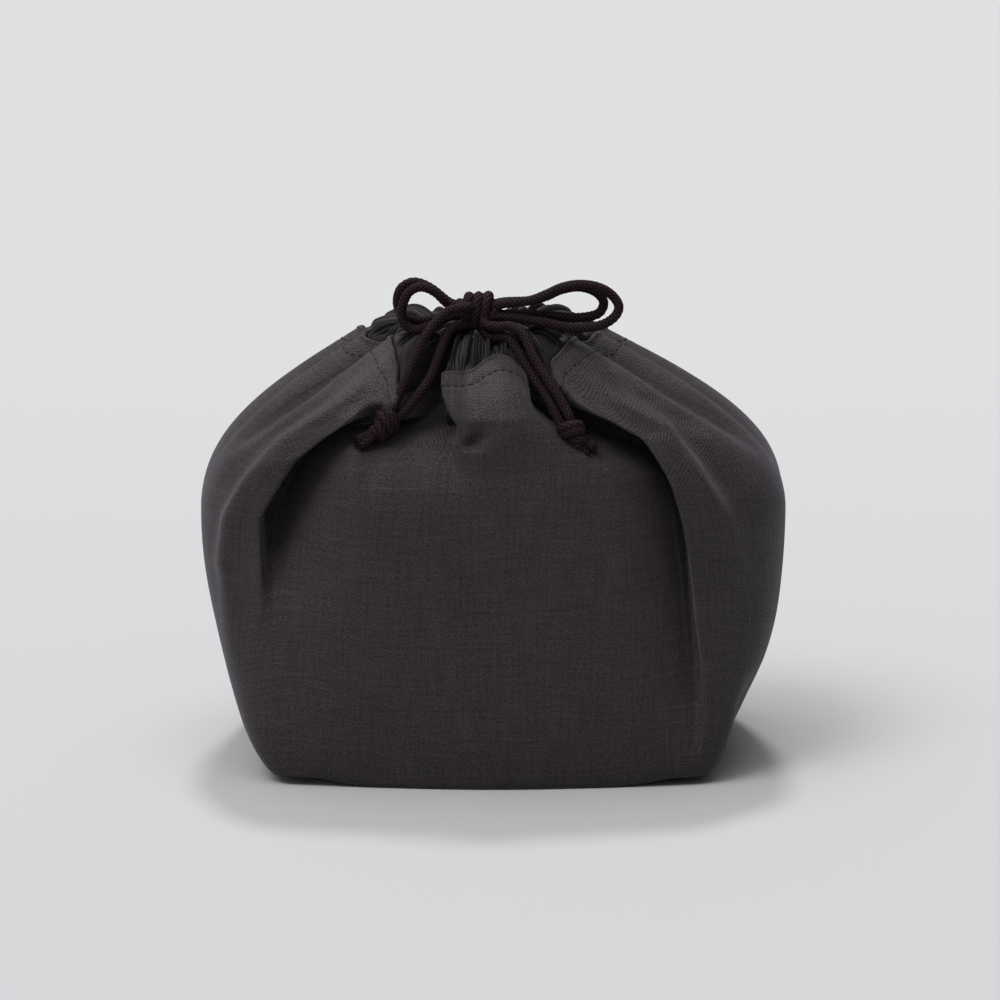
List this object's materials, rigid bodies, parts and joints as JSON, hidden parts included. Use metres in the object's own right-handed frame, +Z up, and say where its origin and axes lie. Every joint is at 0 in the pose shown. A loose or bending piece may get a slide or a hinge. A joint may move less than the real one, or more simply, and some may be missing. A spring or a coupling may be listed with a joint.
{
  "type": "kinchaku drawstring pouch",
  "caption": "Soft canvas drawstring pouch drawn shut, with a flat gusseted base, a gathered ribbed collar and a bow of doubled round cord.",
  "frame": {"origin": "middle of the base panel, on the surface the pouch stands on", "axes": "+X to the right of the front panel, +Y towards the back, +Z up"},
  "size_m": [0.235, 0.1338, 0.1989],
  "materials": {
    "canvas": "matt plain-weave canvas",
    "ribbed_cloth": "thin ribbed cloth with a slight sheen",
    "braided_cord": "matt round braid"
  },
  "bodies": {
    "root": {"pouch_body": "canvas", "collar": "ribbed_cloth", "bow_knot": "braided_cord", "left_loop_front": "braided_cord", "left_loop_back": "braided_cord", "right_loop_front": "braided_cord", "right_loop_back": "braided_cord", "left_tail_outer": "braided_cord", "left_tail_inner": "braided_cord", "right_tail_outer": "braided_cord", "right_tail_inner": "braided_cord", "left_end_knot": "braided_cord", "right_end_knot": "braided_cord"}
  },
  "joints": []
}
